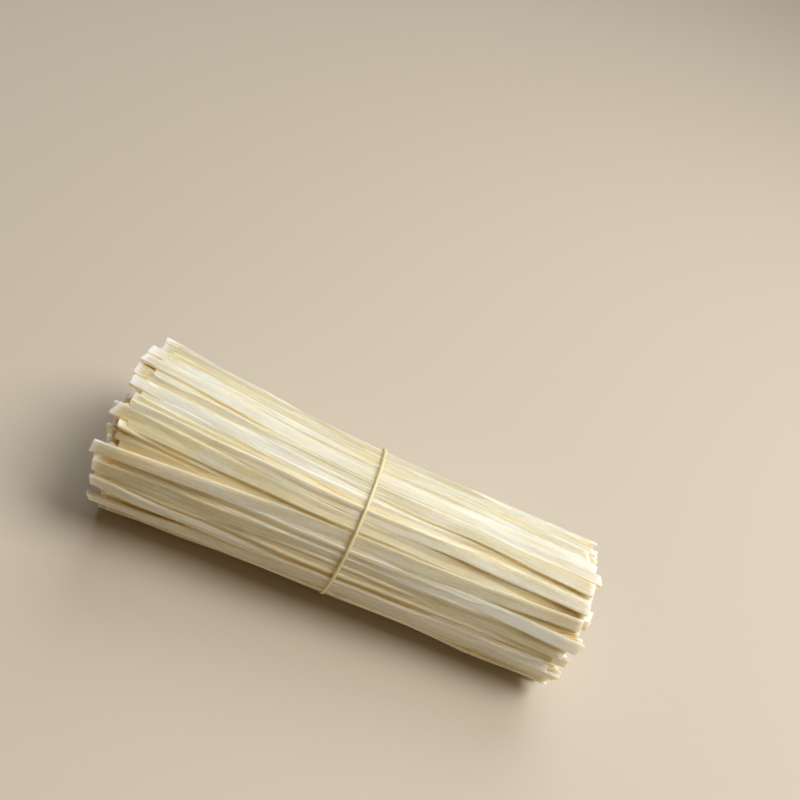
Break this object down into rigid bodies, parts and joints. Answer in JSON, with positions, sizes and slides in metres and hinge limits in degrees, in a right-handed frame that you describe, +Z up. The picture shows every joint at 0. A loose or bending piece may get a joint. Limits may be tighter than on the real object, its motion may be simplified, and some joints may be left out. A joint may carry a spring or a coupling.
{
  "type": "bundle of dried corn noodles",
  "caption": "Bundle of straight flat dried corn noodles lying on its side, held round the middle by a thin rubber band, with ragged cut ends that fan out more at one end.",
  "frame": {"origin": "on the surface that the bundle lies on, under the middle of its bounding box", "axes": "+X along the noodles, from the end that fans out more to the tighter end; +Z up"},
  "size_m": [0.2106, 0.0762, 0.0668],
  "materials": {
    "noodle": "satin, slightly translucent pale straw",
    "band": "smooth amber"
  },
  "bodies": {
    "root": {"noodle_bundle": "noodle", "rubber_band": "band"}
  },
  "joints": []
}
